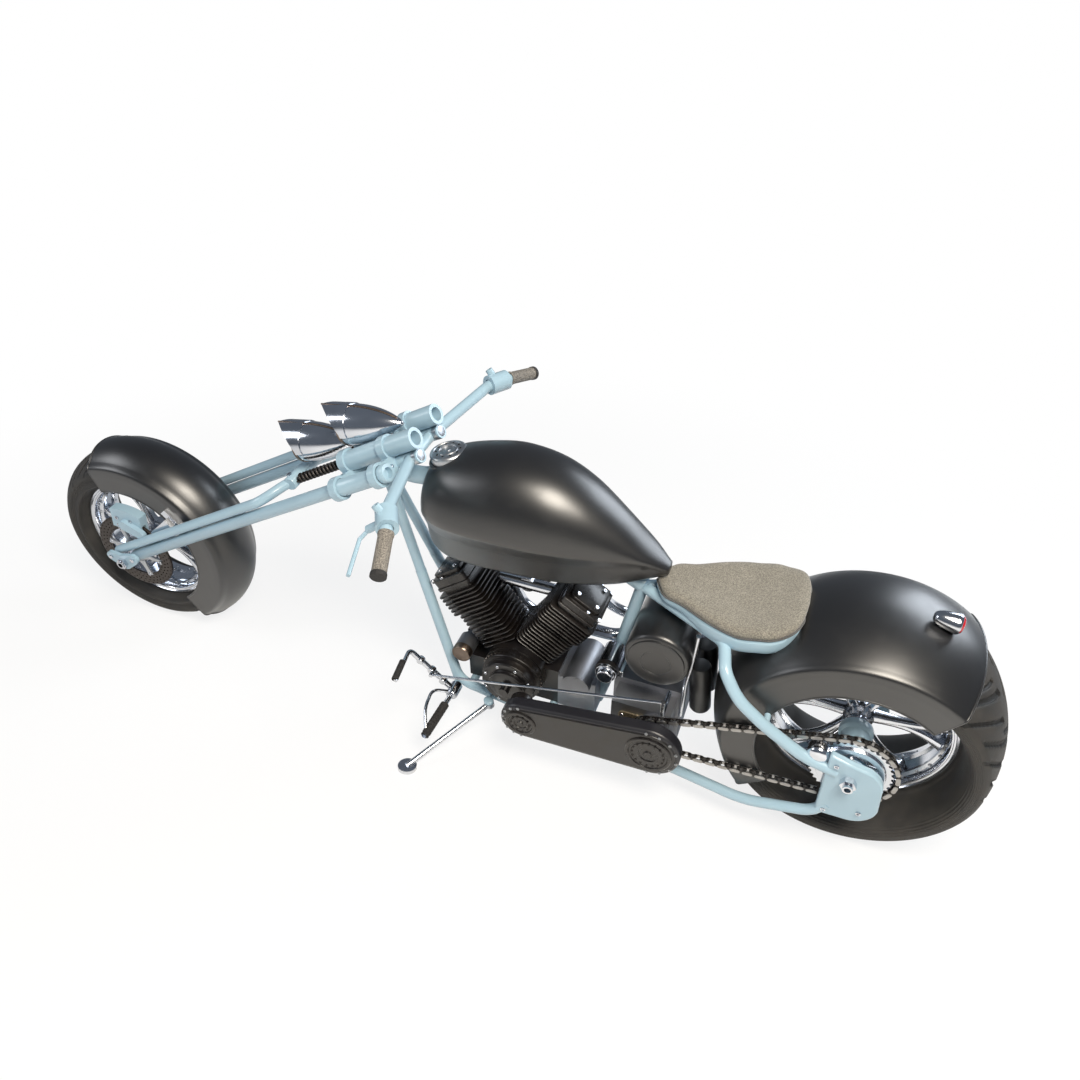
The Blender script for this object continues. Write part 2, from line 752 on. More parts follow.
class Repeater:
    """A node tree that stands one item on every point, turned along the point's aim."""

    def __init__(self, axis: str = "Z") -> None:
        """Builds the tree; axis is the item's own axis that follows the aim."""
        tree = self.tree = bpy.data.node_groups.new("repeat_along_" + axis, "GeometryNodeTree")
        face = tree.interface
        for name, kind in (("Points", "Geometry"), ("Item", "Object"), ("Finish", "Material")):
            face.new_socket(name, in_out="INPUT", socket_type="NodeSocket" + kind)
        face.new_socket("Made", in_out="OUTPUT", socket_type="NodeSocketGeometry")
        new, link = tree.nodes.new, tree.links.new
        start, end = new("NodeGroupInput"), new("NodeGroupOutput")
        item, aim = new("GeometryNodeObjectInfo"), new("GeometryNodeInputNamedAttribute")
        turn, stand = new("FunctionNodeAlignRotationToVector"), new("GeometryNodeInstanceOnPoints")
        real, dress = new("GeometryNodeRealizeInstances"), new("GeometryNodeSetMaterial")
        aim.data_type = "FLOAT_VECTOR"
        aim.inputs[0].default_value = "aim"
        turn.axis = axis
        if axis == "X":
            turn.pivot_axis = "Y"
        link(start.outputs["Item"], item.inputs["Object"])
        link(aim.outputs["Attribute"], turn.inputs["Vector"])
        link(start.outputs["Points"], stand.inputs["Points"])
        link(item.outputs["Geometry"], stand.inputs["Instance"])
        link(turn.outputs["Rotation"], stand.inputs["Rotation"])
        link(stand.outputs["Instances"], real.inputs["Geometry"])
        link(real.outputs["Geometry"], dress.inputs["Geometry"])
        link(start.outputs["Finish"], dress.inputs["Material"])
        link(dress.outputs["Geometry"], end.inputs["Made"])

    def spread(self, name: str, body: Body, finish: Finish, item: Shape,
               spots: Sequence[tuple[Point, Point]]) -> bpy.types.Object:
        """Repeats an item.

        Args:
            name: the piece's name.
            body: the body it moves with.
            finish: its surface finish.
            item: the item, standing at the origin.
            spots: a place and an aim for each copy, in upright millimetres.

        Returns:
            The piece with all copies in one mesh.
        """
        holder = bpy.data.meshes.new(name + "_spots")
        holder.from_pydata([tuple(p) for p, _ in spots], [], [])
        aims = holder.attributes.new("aim", "FLOAT_VECTOR", "POINT")
        for datum, (_, way) in zip(aims.data, spots):
            datum.vector = Vector(way).normalized()
        host = bpy.data.objects.new(name + "_host", holder)
        master = bpy.data.objects.new(name + "_item", item.mesh(name + "_item", Matrix.Identity(4)))
        for face in master.data.polygons:
            face.use_smooth = True
        master.data.set_sharp_from_angle(angle=math.radians(38))
        for obj in (host, master):
            bpy.context.scene.collection.objects.link(obj)
        spread = host.modifiers.new("spread", "NODES")
        spread.node_group = self.tree
        values = {"Item": master, "Finish": finish.paint()}
        for socket in self.tree.interface.items_tree:
            if socket.in_out == "INPUT" and socket.name in values:
                spread[socket.identifier] = values[socket.name]
        graph = bpy.context.evaluated_depsgraph_get()
        mesh = bpy.data.meshes.new_from_object(host.evaluated_get(graph), preserve_all_data_layers=True,
                                               depsgraph=graph)
        mesh.name = name
        mesh.transform(PLACED)
        for obj in (host, master):
            bpy.data.objects.remove(obj)
        return settle(mesh, name, body, finish)


def screw(radius: float = 5.0, height: float = 4.0, sides: int = 12) -> Shape:
    """A socket head screw standing on the origin along Z."""
    profile = [(0, 0), (radius, 0), (radius, height * 0.8), (radius * 0.86, height), (radius * 0.5, height),
               (radius * 0.45, height * 0.45), (0, height * 0.45)]
    return Shape().turned(profile, (0, 0, 0), (0, 0, 1), steps=sides)


def hex_nut(radius: float = 9.0, height: float = 7.0) -> Shape:
    """A domed hexagon nut standing on the origin along Z."""
    profile = [(0, 0), (radius, 0), (radius, height * 0.75), (radius * 0.82, height),
               (radius * 0.5, height * 1.15), (0, height * 1.3)]
    return Shape().turned(profile, (0, 0, 0), (0, 0, 1), steps=6)


def on_circle(x: float, y: float, z: float, r: float, count: int, start: float = 0.0,
              way: Point = (0, 1, 0)) -> list[tuple[Point, Point]]:
    """Places round a circle that lies across the machine, each aimed along way."""
    return [((px, y, pz), way) for px, pz in arc(x, z, r, start, start + 360, count)[:-1]]


FASTEN = Repeater("Z")
FOLLOW = Repeater("X")


# ---- wheels ----
@dataclass
class Wheel:
    """A tyre on a turned rim with cast arms."""

    name: str
    body: Body
    hub: tuple[float, float]
    radius: float
    half: float
    crown: float
    rim: float
    arms: int
    tread: Tread
    rim_half: float = 50.0
    hub_r: float = 38.0
    turns: int = 540
    rows: int = 64
    depth: float = 6.0

    def crown_at(self, y: float) -> float:
        """Radius of the tread at a width."""
        return self.radius - self.crown + math.sqrt(self.crown ** 2 - y * y)

    def cut_at(self, turn: float, y: float) -> float:
        """How deep the tread is cut.

        Args:
            turn: angle about the axle.
            y: place across the tread.

        Returns:
            The depth of the groove there, or 0.
        """
        t, reach, deep = self.tread, abs(y) / self.half, 0.0
        bend = reach ** 1.6 * t.sweep + (0.5 if y > 0 else 0.0)
        for offset, low, high, wide in GROOVES:
            if low < reach < high:
                off = abs((turn / (2 * math.pi) * t.grooves + bend + offset) % 1.0 - 0.5)
                deep = max(deep, min(1.0, max(0.0, (t.width * wide - off) / (t.width * 0.35))))
        return self.depth * deep

    def tyre(self) -> None:
        """The tyre, with round shoulders and a sidewall dished in to the rim."""
        flat = self.half - 12
        edge, rim, seat = self.crown_at(flat), self.rim, self.rim_half
        side = [(edge, flat, 0), (edge - 9, self.half - 3, 0), (edge - 20, self.half, 0),
                (edge - 36, self.half - 4, 0), ((edge + rim) / 2 - 14, (self.half + seat + 26) / 2 + 8, 0),
                (rim + 18, seat + 26, 0), (rim + 9.5, seat + 11, 0)]
        flank = [(p.x, p.y) for p in curve_through(side, 5)][1:] + [(rim + 9.5, seat), (rim + 0.5, seat - 1)]
        rows = [flat * (2 * k / self.rows - 1) for k in range(self.rows + 1)]
        walls = flank + [(r, -y) for r, y in reversed(flank)]
        rings = []
        for k in range(self.turns):
            a = 2 * math.pi * k / self.turns
            section = [(self.crown_at(y) - self.cut_at(a, y), y) for y in rows] + walls
            rings.append([(self.hub[0] + r * math.cos(a), y, self.hub[1] + r * math.sin(a)) for r,
                          y in section])
        piece = Shape().loft(rings, wrap=True).piece(self.name + "_tyre_carcass", self.body, self.tread,
                                                     smooth=50)
        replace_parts(piece, self.name + "_tyre")

    def wheel(self) -> None:
        """Rim, arms and hub."""
        rim, seat = self.rim, self.rim_half
        x, z = self.hub
        lip = [(rim - 1, seat - 1), (rim + 8.5, seat), (rim + 9, seat + 4), (rim + 7, seat + 6),
               (rim + 2, seat + 6), (rim, seat + 3), (rim - 4, seat + 2), (rim - 6, seat + 4),
               (rim - 9, seat + 3.5), (rim - 12, seat - 4), (rim - 13, seat - 16), (rim - 20, seat - 22),
               (rim - 21, seat - 28), (rim - 15, seat - 34)]
        profile = lip + [(r, -y) for r, y in reversed(lip)]
        hoop = Shape().turned(profile, (x, 0, z), steps=180)
        side = [(13, 58), (29, 58), (32, 54), (33, 48), (30, 44), (30, 34), (self.hub_r, 20)]
        hoop.turned(side + [(r, -y) for r, y in reversed(side)], (x, 0, z), steps=64)
        made = hoop.piece(self.name + "_rim_hoop", self.body, CHROME)
        arms = Shape()
        for i in range(self.arms):
            self.arm(arms, 360 / self.arms * i)
        arms.piece(self.name + "_arms", self.body, CHROME, smooth=60)
        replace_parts(made, self.name + "_wheel")
        # Place across, circle radius, head radius and height, count and first angle of each ring of screws.
        rows = {"rim": (seat - 17, rim - 16.5, 3.2, 3, self.arms * 5, 0),
                "hub": (30, self.hub_r - 4, 3.6, 3.5, 6, 30)}
        for side, hand in ((1, "left"), (-1, "right")):
            for part, (y, r, head, high, count, start) in rows.items():
                FASTEN.spread(f"{self.name}_{part}_screws_{hand}", self.body, STEEL, screw(head, high),
                              on_circle(x, side * y, z, r, count, start, way=(0, side, 0)))

    def arm(self, arms: Shape, turn: float) -> None:
        """One forked arm, wide at the hub, waisted, and split towards the rim."""
        for lean in (-1, 1):
            rings = []
            for k in range(13):
                t = k / 12
                r = self.hub_r - 8 + (self.rim - 14 - self.hub_r + 8) * t
                wide = 13 - 6 * math.sin(math.pi * min(1, t * 0.9)) + 3 * t
                thick = 17 - 6 * math.sin(math.pi * t) + 2 * t
                spread = lean * (0.02 + 0.16 * t ** 2.2)
                rings.append(across(self.hub, 0, r, math.radians(turn) + spread, (wide, thick, 5, 3)))
            arms.loft(rings)

    def build(self) -> None:
        """Makes the wheel."""
        self.tyre()
        self.wheel()


@dataclass
class FrontBrake:
    """Drilled rotor on its carrier, and the caliper's bolts."""

    y: float = 110.0
    outer: float = 130.5

    def build(self) -> None:
        """Makes the rotor, the carrier and the fasteners."""
        x, z = FRONT_HUB
        rows = [88, 99, 110, 120.5, self.outer]
        rotor = Shape().holed_ring((x, self.y, z), 44, rows, 5, 2.6)
        made = rotor.piece("front_rotor", Body.FRONT_WHEEL, ROTOR, smooth=30)
        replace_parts(made, "brake_disc")
        carrier = Shape().turned([(13, 58), (40, 58), (45, 66), (45, 104), (34, 113.5), (13, 113.5)],
                                 (x, 0, z), steps=64)
        for i in range(6):
            carrier.loft([across(FRONT_HUB, self.y, r, math.radians(60 * i + 12), (w, 3.4, 2, 3))
                          for r, w in ((36, 13), (55, 8), (74, 7), (86, 10), (93, 11))])
        carrier.piece("front_rotor_carrier", Body.FRONT_WHEEL, STEEL)
        FASTEN.spread("front_rotor_buttons", Body.FRONT_WHEEL, CHROME, screw(5.5, 3),
                      on_circle(x, self.y + 3.2, z, 88, 6, 12))
        FASTEN.spread("front_carrier_screws", Body.FRONT_WHEEL, STEEL, screw(4, 3),
                      on_circle(x, 113, z, 27, 6))
        spots = [((x + r * math.cos(math.radians(a)), 123, z + r * math.sin(math.radians(a))), (0, 1, 0))
                 for r, a in ((112, 82), (112, 106), (140, 84), (140, 104), (126, 95))]
        FASTEN.spread("front_caliper_screws", Body.FORK, CHROME, screw(6.5, 4), spots)


REAR = Wheel("rear", Body.REAR_WHEEL, REAR_HUB, STANCE.rear_r, 172, STANCE.rear_crown, 229, 6, REAR_TREAD)
FRONT = Wheel("front", Body.FRONT_WHEEL, FRONT_HUB, STANCE.front_r, 86, STANCE.front_crown, 205, 5,
              FRONT_TREAD)


# ---- bodywork ----
@dataclass
class Bodywork:
    """Tank, fenders, seat and their trim."""

    gap: float = 20.0
    skin: float = 4.0
    # Columns: x, half width, height of the crease, of the top, half width of the foot, its height.
    tank_rows: tuple[tuple[float, ...], ...] = (
        (1170, 60, 742, 806, 40, 664), (1150, 102, 738, 838, 62, 610), (1100, 132, 735, 872, 84, 592),
        (1020, 148, 738, 898, 96, 594), (930, 154, 742, 912, 100, 600), (830, 146, 738, 898, 98, 604),
        (740, 122, 728, 856, 88, 610), (650, 84, 714, 786, 68, 622), (580, 52, 700, 722, 46, 640),
        (524, 20, 668, 676, 16, 650))
    seat_half: tuple[tuple[float, float], ...] = ((552, 0), (547, 16), (520, 56), (470, 74), (400, 110),
                                                  (330, 133), (260, 134), (208, 112), (186, 66), (180, 0))

    def tank_ring(self, row: Sequence[float]) -> list[tuple[float, float, float]]:
        """One section of the tank across the machine."""
        x, w, c, h, f, b = row
        top = [(x, w * math.cos(a) * (1 - 0.05 * math.sin(2 * a) * (1 if a < math.pi / 2 else -1)),
                c + (h - c) * math.sin(a) ** 0.8) for a in (math.pi * k / 36 for k in range(37))]
        lip = c - (c - b) * 0.42
        low = [(x, -w * 0.985, c - 6), (x, -w * 0.955, c - 12), (x, -f - (w - f) * 0.55, lip + 12),
               (x, -f - (w - f) * 0.35, lip), (x, -f - 2, b + 10), (x, -f + 3, b + 2), (x, -f + 10, b)]
        return top + low + [(px, -py, pz) for px, py, pz in reversed(low)]

    def tank(self) -> None:
        """The long teardrop tank."""
        rows = list(self.tank_rows)
        left = curve_through([r[:3] for r in rows], 9)
        right = curve_through([r[3:] for r in rows], 9)
        rings = [self.tank_ring((*a, *b)) for a, b in zip(left, right)]
        for ring, way in ((rings[0], 1), (rings[-1], -1)):
            mid = sum((Vector(p) for p in ring), Vector()) / len(ring)
            tips = [[mid + (Vector(p) - mid) * k + Vector((way * dx, 0, 0)) for p in ring]
                    for k, dx in ((0.8, 1.5), (0.45, 2.5), (0.1, 3.0))]
            rings = tips[::-1] + rings if way > 0 else rings + tips
        made = Shape().loft(rings).piece("tank_shell", Body.FRAME, SATIN, smooth=62)
        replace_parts(made, "fuel_tank")
        tilt = Vector((math.sin(math.radians(12)), 0, math.cos(math.radians(12))))
        base = Vector((1078, 0, 700))
        lid = [(0, 156), (48, 156), (49, 160), (49, 173), (46.5, 177), (42, 179), (38, 179.6), (37, 177.6),
               (27, 177.6), (26, 179.6), (23, 180), (21.5, 176), (6, 176), (5, 178), (0, 178.2)]
        cap = Shape().turned(lid, base, tilt, steps=72).piece("filler_cap", Body.FRAME, STEEL)
        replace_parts(cap, "fuel_cap")
        side = tilt.cross(Vector((0, 1, 0)))
        neck = Shape().turned([(0, 140), (56, 140), (56, 152), (53.5, 155.4), (0, 155.4)], base, tilt,
                              steps=72)
        neck.piece("filler_neck", Body.FRAME, SATIN)
        spots = [(base + tilt * 177.4 + (Vector((0, 1, 0)) * math.cos(a) + side * math.sin(a)) * 32, tilt)
                 for a in (2 * math.pi * k / 10 for k in range(10))]
        FASTEN.spread("filler_cap_dots", Body.FRAME, IRON, screw(2.8, 1.2), spots)

    def fender(self, name: str, wheel: Wheel, lip: float, span: tuple[float, float], body: Body) -> None:
        """A deep fender with rolled edges.

        Args:
            name: the CAD node it stands for.
            wheel: the wheel under it.
            lip: how far its side's edge lies outside the rim.
            span: first and last angle.
            body: the body it rides on.
        """
        hub, crown, lip = wheel.hub, wheel.crown, wheel.rim + lip
        ri, wi, flat = wheel.radius + self.gap, wheel.half + 6, wheel.half - 14
        top = [(ri - crown + math.sqrt(crown ** 2 - y * y), y, 0) for y in (flat * k / 12 for k in range(13))]
        edge = top[-1][0]
        bend = curve_through([top[-1], (edge - 10, wi - 3, 0), (edge - 26, wi, 0), (edge - 50, wi, 0)], 6)[1:]
        inner = [(p[0], p[1]) for p in top] + [(p.x, p.y) for p in bend] + [(lip, wi)]
        outer = [(r + self.skin * max(0.0, 1 - y / wi) ** 0.3, y + self.skin * min(1.0, (y / wi) ** 8))
                 for r, y in inner]
        loop = [(r, -y) for r, y in reversed(inner)] + inner[1:] + [(r, y) for r, y in reversed(outer)] \
            + [(r, -y) for r, y in outer[1:]]
        at = (hub[0], 0, hub[1])
        shell = Shape().turned(loop, at, start=span[0], stop=span[1], steps=110)
        for hand in (1, -1):
            path = [(px, hand * (wi + 2), pz) for px, pz in arc(*hub, lip + 1.5, *span, 90)]
            shell.tube(path, 3.6, 10)
        for angle in span:
            a = math.radians(angle)
            rim = [(r + 1.5, y + 1) for r, y in inner]
            full = [(r, -y) for r, y in reversed(rim)] + rim[1:]
            shell.tube([(hub[0] + r * math.cos(a), y, hub[1] + r * math.sin(a)) for r, y in full], 3.6, 10)
        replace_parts(shell.piece(name + "_shell", body, SATIN, smooth=50), name)

    def seat_z(self, x: float) -> float:
        """Height of the seat's top line."""
        stations = ((150, 678), (186, 668), (260, 650), (330, 638), (600, 638))
        for (x0, z0), (x1, z1) in zip(stations, stations[1:]):
            if x <= x1:
                t = max(0.0, (x - x0) / (x1 - x0))
                return z0 + (z1 - z0) * t * t * (3 - 2 * t)
        return stations[-1][1]

    def seat(self) -> None:
        """Crowned suede pad on a painted pan, with a piped seam."""
        half = [(p.x, p.y) for p in curve_through([(x, y, 0) for x, y in self.seat_half], 9)]
        loop = half + [(x, -y) for x, y in reversed(half)][1:-1]
        cx = 345.0

        def ring(k: float, drop: float, dip: float = 0.0) -> list[tuple[float, float, float]]:
            """The outline scaled by k, at a depth below the top line, with a dip in the middle."""
            out = []
            for x, y in loop:
                px, py = cx + (x - cx) * k, y * k
                out.append((px, py, self.seat_z(px) - drop - dip * (1 - (py / 140) ** 2)))
            return out

        rings = [ring(0.02, 21), ring(0.6, 21), ring(0.96, 21), ring(0.985, 19), ring(0.995, 14),
                 ring(0.992, 8), ring(0.978, 3.5), ring(0.95, 0.4), ring(0.9, -1.6), ring(0.8, -2.4),
                 ring(0.62, -1.8, 0.6), ring(0.4, -1.2, 1.2), ring(0.2, -1.0, 1.4), ring(0.02, -1.0, 1.5)]
        pad = Shape().loft(rings).piece("seat_cushion", Body.FRAME, SUEDE, rounds=1)
        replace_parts(pad, "seat_pad")
        Shape().tube(ring(0.998, 19.5) + ring(0.998, 19.5)[:1], 2.4,
                     10).piece("seat_piping_cord", Body.FRAME, PIPING)

        def shell(k: float, drop: float) -> list[tuple[float, float, float]]:
            """A ring of the pan, whose skirt is shallow at the nose."""
            out = []
            for x, y in loop:
                px, py = cx + (x - cx) * k, y * k
                share = 1 - max(0.0, min(1.0, (px - 400) / 90))
                deep = 40 + 26 * share
                out.append((px, py, self.seat_z(px) - (22 + (deep - 22) * drop)))
            return out

        pan = Shape().loft([shell(0.05, 0.02), shell(0.97, 0.0), shell(1.0, 0.08), shell(1.004, 0.3),
                            shell(1.0, 0.7), shell(0.985, 0.94), shell(0.97, 1.0), shell(0.955, 0.92),
                            shell(0.95, 0.5), shell(0.05, 0.45)])
        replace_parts(pan.piece("seat_tray", Body.FRAME, BLUE, smooth=60), "seat_pan")

    def tail_light(self) -> None:
        """Bullet lamp on a short post over the rear fender."""
        a = math.radians(107)
        out, _ = polar(a)
        foot = Vector((REAR_HUB[0], 0, REAR_HUB[1])) + out * 364
        way = Vector((math.sin(math.radians(-98)), 0, math.cos(math.radians(-98))))
        at = Vector((-86, 0, REAR_HUB[1] + 388 * math.sin(a)))
        lamp = Shape().turned([(0, 0), (7, 0.6), (12, 3), (16, 9), (20, 20), (23, 36), (25, 50), (25.5, 56),
                               (24, 59), (22, 60), (0, 60)], at, way, steps=48)
        lamp.turned([(0, 0), (9, 0), (8, 4), (6.5, 18), (0, 18)], foot, out, steps=28)
        made = lamp.piece("tail_lamp_shell", Body.FRAME, CHROME, smooth=50)
        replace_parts(made, "tail_light")
        Shape().turned([(0, 59), (22, 59), (22, 61), (19, 65), (12, 68), (0, 69)], at, way, steps=48).piece(
            "tail_lamp_lens", Body.FRAME, RED, smooth=60)

    def build(self) -> None:
        """Makes all the bodywork."""
        self.tank()
        self.fender("rear_fender", REAR, 3, (-38, 128), Body.FRAME)
        self.fender("front_fender", FRONT, 7, (70, 232), Body.FORK)
        self.seat()
        self.tail_light()


# ---- frame ----
@dataclass
class Chassis:
    """The rigid tube frame."""

    tube: float = 15.0
    spine_r: float = 24.0
    rail_z: float = 112.0
    spine: list[Point] = field(default_factory=lambda: [FORK @ Vector((-10, 0, -30)), (1190, 0, 772),
                                                        (1120, 0, 800), (1000, 0, 792), (700, 0, 652),
                                                        (588, 0, 592)])
    seat_tube: list[Point] = field(default_factory=lambda: [(588, 0, 600), (588, 0, 585), (652, 0, 262),
                                                            (690, 0, 112)])
    rails: list[Point] = field(default_factory=lambda: [(1088, 88, 120), (915, 105, 112), (750, 128, 112),
                                                        (425, 165, 112), (228, 202, 118), (62, 218, 176),
                                                        (28, 218, 226)])
    stay: list[Point] = field(default_factory=lambda: [(588, 0, 584), (352, 112, 572), (342, 150, 566),
                                                       (332, 190, 556), (290, 214, 500), (215, 219, 440),
                                                       (112, 219, 372), (30, 219, 352)])

    def tubes(self) -> None:
        """All frame tubes, bent where the real ones are."""
        t = self.tube
        down = FORK @ Vector((14, 0, -24))
        down.y = 6
        one = Shape().tube(fillet([down, *self.rails], 46), t - 1, 24)
        one.tube(fillet(self.stay, 34), t, 24)
        one.tube([self.rails[0], Vector(self.rails[0]) + (down - Vector(self.rails[0])).normalized() * 380],
                 t, 24)
        one.both()
        one.tube(fillet(self.spine, 60), self.spine_r, 32)
        one.tube(fillet(self.seat_tube, 20), t + 2, 28)
        for x, z, y in ((1050, 116, 96), (800, 112, 121), (690, 112, 134), (520, 112, 152)):
            one.tube([(x, -y, z), (x, y, z)], 12, 20)
        for hand in (1, -1):
            one.tube([(215, hand * 219, 440), (215, hand * 182.4, 440)], 8, 16)
            one.tube([(380, hand * 99, 570), (380, hand * 99, 597)], 9, 16)
        collar = [(15.4, -70), (30, -70), (31.5, -66), (31.5, -56), (29, -52), (29, 26), (31.5, 30),
                  (31.5, 40), (30, 44), (15.4, 44)]
        one.placed(FORK.inverted()).turned(collar, (0, 0, 0), (1, 0, 0), steps=48).placed(FORK)
        back = PLACED.inverted()
        hinge = next(j for j in frame["joints"] if j["name"] == "side_stand_fold")
        at = back @ Vector(hinge["pos_m"])
        way = (back.to_3x3() @ Vector(hinge["axis"])).normalized()
        one.turned([(0, -14), (5.5, -14), (6, -13), (6, 9), (13, 9), (14, 10), (14, 19), (13, 20), (0, 20)],
                   at, way, steps=32)
        one.tube([(975, 99, self.rail_z + 11), at + way * 15.4], 4.5, 14)
        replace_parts(one.piece("frame_tubes", Body.FRAME, BLUE, smooth=50), "frame")

    def plates(self) -> None:
        """D shaped axle plates with a wide bevel, their chain adjusters and the stay's end domes."""
        outline = [(56, 194), (56, 410), (50, 412), (-6, 394)] + arc(-20, 330, 60, 100, 183, 12) \
            + arc(-18, 262, 68, 186, 268, 12)
        plates = Shape().prism(outline, 207, 229).both()
        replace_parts(plates.piece("axle_plate_pair", Body.FRAME, BLUE, bevel=5), "axle_plates")
        dome = Shape().turned([(0, 190), (27, 190), (27, 214), (25, 220), (18, 225), (8, 227), (0, 227)],
                              (82, 0, 388), steps=48).both()
        dome.piece("stay_end_domes", Body.FRAME, CHROME, smooth=50)
        spots = [((x, hand * 229, z), (0, hand, 0)) for hand in (1, -1) for x,
                 z in ((36, 214), (36, 384), (-44, 236))]
        FASTEN.spread("axle_plate_screws", Body.FRAME, CHROME, screw(6.5, 5), spots)

    def build(self) -> None:
        """Makes the frame."""
        self.tubes()
        self.plates()


# ---- engine ----
@dataclass
class Engine:
    """Twin with finned barrels, its covers, oil parts and pipes."""

    crank: tuple[float, float] = (915.0, 218.0)
    leans: tuple[float, float] = (37.0, -33.0)
    deck: float = 84.0
    barrel: float = 128.0
    fins: int = 9

    def plate(self, shape: Shape, w: float, d: float, low: float, thick: float, r: float) -> None:
        """A rounded fin or slab across the cylinder's axis."""
        rings = []
        for inset, at in ((1.3, 0), (0, 1.0), (0, thick - 1.0), (1.3, thick)):
            rings.append([(x, y, low + at) for x, y in round_box(w - inset, d - inset, r, 4)])
        shape.loft(rings)

    def cylinder(self, name: str, lean: float, keep: float) -> None:
        """One barrel and head; keep is the side of the V plane it stays on."""
        head = self.deck + self.barrel
        s = Shape().turned([(0, self.deck), (52, self.deck), (52, head), (0, head)], (0, 0, 0), (0, 0, 1),
                           steps=48)
        for i in range(self.fins):
            self.plate(s, 66, 62, self.deck + 4 + self.barrel / self.fins * i, 4.4, 20)
        self.plate(s, 50, 56, head, 92, 10)
        for i in range(6):
            self.plate(s, 72, 68, head + 8 + 13 * i, 4.6, 16)
        self.plate(s, 60, 62, head + 92, 10, 12)
        self.plate(s, 57, 59, head + 102, 22, 12)
        self.plate(s, 60, 62, head + 124, 5, 12)
        self.plate(s, 48, 50, head + 128, 13, 14)
        tilt = Matrix.Translation((self.crank[0], 0,
                                   self.crank[1])) @ Matrix.Rotation(math.radians(lean), 4, "Y")
        s.placed(tilt).cut((self.crank[0] + 8 - keep, 0, 0), (-keep, 0, 0))
        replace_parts(s.piece(name + "_stack", Body.FRAME, BARREL, smooth=35), name)
        up = tilt.to_3x3() @ Vector((0, 0, 1))
        spots = [(tilt @ Vector((x * keep, y, head + 129)), up) for x in (54, 18) for y in (-55, 55)]
        spots += [(tilt @ Vector((x, y, head + 141)), up) for x in (-30, 30) for y in (-34, 34)
                  if x * keep > -40]
        FASTEN.spread(name + "_bolts", Body.FRAME, CHROME, screw(5.5, 5), spots)

    def cases(self) -> None:
        """Alternator rings, cam cover, pushrod tubes and case screws."""
        x, z = self.crank
        rings = [(0, 84), (86, 84), (87, 88), (87, 108), (84, 112), (77, 113), (77, 132), (74, 136),
                 (64, 136), (62, 133), (56, 133), (53, 137), (53, 144), (50, 146), (30, 146), (28, 142),
                 (16, 142), (14, 146), (13.5, 166), (11, 168), (0, 168)]
        Shape().turned(rings, (x, 0, z), steps=96).piece("alternator_cover", Body.FRAME, CRACKLE, smooth=35)
        spots = []
        for k in range(40):
            out, _ = polar(2 * math.pi * k / 40)
            spots.append((Vector((x, 98, z)) + out * 87, out))
        FASTEN.spread("alternator_ribs", Body.FRAME, IRON,
                      Shape().turned([(0, 0), (3, 0), (3, 2.4), (0, 3)], (0, 0, 0), (0, 0, 1), steps=6),
                      spots)
        FASTEN.spread("alternator_screws", Body.FRAME, CHROME, screw(4.5, 4), on_circle(x, 136, z, 69, 8, 22))
        cover = [(0, -118), (66, -118), (73, -112), (74, -80), (0, -80)]
        Shape().turned(cover, (x, 0, z), steps=72).piece("cam_cover", Body.FRAME, CHROME, smooth=40)
        FASTEN.spread("cam_cover_screws", Body.FRAME, STEEL, screw(4.5, 4),
                      on_circle(x, -118, z, 58, 6, way=(0, -1, 0)))
        rods = Shape()
        for lean, off in ((37, 22), (37, -4), (-33, -16), (-33, 10)):
            a = math.radians(lean)
            top = Vector((x + off + 268 * math.sin(a), -76, z + 268 * math.cos(a)))
            foot = Vector((x + off * 0.8 + 66 * math.sin(a * 0.6), -84, z + 66))
            rods.tube([foot, foot.lerp(top, 0.12)], 11, 18).tube([foot, top], 7, 16)
            rods.tube([foot.lerp(top, 0.86), top], 10, 18)
        rods.piece("pushrod_tubes", Body.FRAME, CHROME)

    def primary(self) -> None:
        """Long left side case with two round covers."""
        front, rear = (832.0, 215.0), (480.0, 244.0)
        body = Shape().prism(belt(front, 60, rear, 82), 204, 243)
        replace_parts(body.piece("primary_shell", Body.FRAME, SLATE, bevel=7), "primary_case")
        Shape().prism(belt(front, 49, rear, 71), 241,
                      246).piece("primary_face", Body.FRAME, CRACKLE, bevel=2.5)
        covers = Shape()
        for (x, z), r in ((front, 44), (rear, 62)):
            covers.turned([(0, 245), (r, 245), (r, 248), (r - 3, 250.6), (r - 9, 250.6), (r - 11, 248),
                           (r - 17, 248), (r - 19, 250), (r * 0.42, 250), (r * 0.38, 247.5),
                           (r * 0.2, 247.5), (r * 0.16, 250.5), (0, 250.5)], (x, 0, z), steps=72)
        covers.piece("primary_covers", Body.FRAME, BARREL, smooth=35)
        spots = [((x, 242.6, z), (0, 1, 0)) for x, z in belt(front, 52.6, rear, 74.6, 7)]
        FASTEN.spread("primary_screws", Body.FRAME, STEEL, screw(4.2, 3.4), spots)
        dots = on_circle(*(front[0], 250, front[1]), 26, 10) + on_circle(rear[0], 250, rear[1], 42, 16)
        FASTEN.spread("primary_cover_studs", Body.FRAME, IRON, screw(3, 1.6), dots)
        Shape().turned([(0, 170), (30, 170), (34, 176), (34, 205), (0, 205)], (852, 0, 219), steps=48).piece(
            "primary_front_boss", Body.FRAME, CRACKLE)

